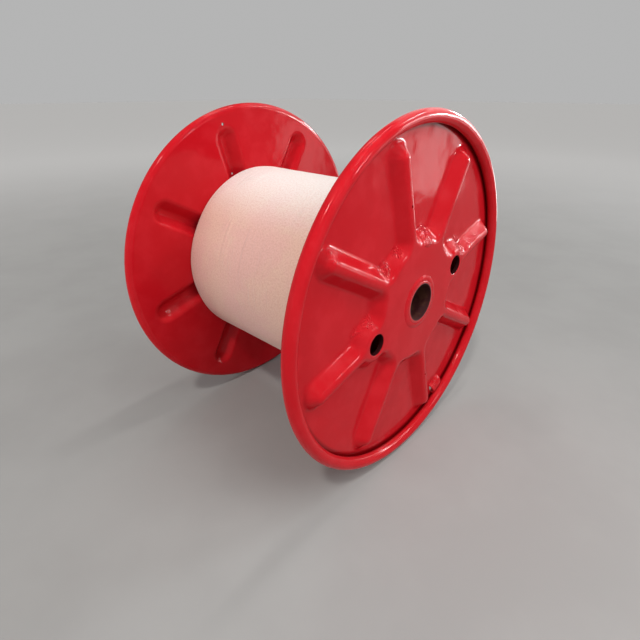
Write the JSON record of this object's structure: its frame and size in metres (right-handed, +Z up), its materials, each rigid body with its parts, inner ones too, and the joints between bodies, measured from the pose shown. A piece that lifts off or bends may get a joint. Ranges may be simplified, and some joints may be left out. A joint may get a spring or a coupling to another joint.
{
  "type": "steel cable drum",
  "caption": "Pressed-steel cable drum with curled rims, ribbed hubs, a plain through bore and a wrapped barrel, lying on its rims.",
  "frame": {"origin": "on the floor below the middle of the drum, midway between the flanges", "axes": "+X along the drum's axis towards the right flange, +Z up, the drum lying on both curled rims"},
  "size_m": [0.451, 0.63, 0.63],
  "materials": {
    "red_enamel": "gloss",
    "barrel_enamel": "gloss",
    "tube_enamel": "gloss",
    "wrap_cloth": "matt"
  },
  "bodies": {
    "root": {"right_flange": "red_enamel", "left_flange": "red_enamel", "barrel": "barrel_enamel", "arbor_tube": "tube_enamel", "barrel_wrap": "wrap_cloth"}
  },
  "joints": []
}
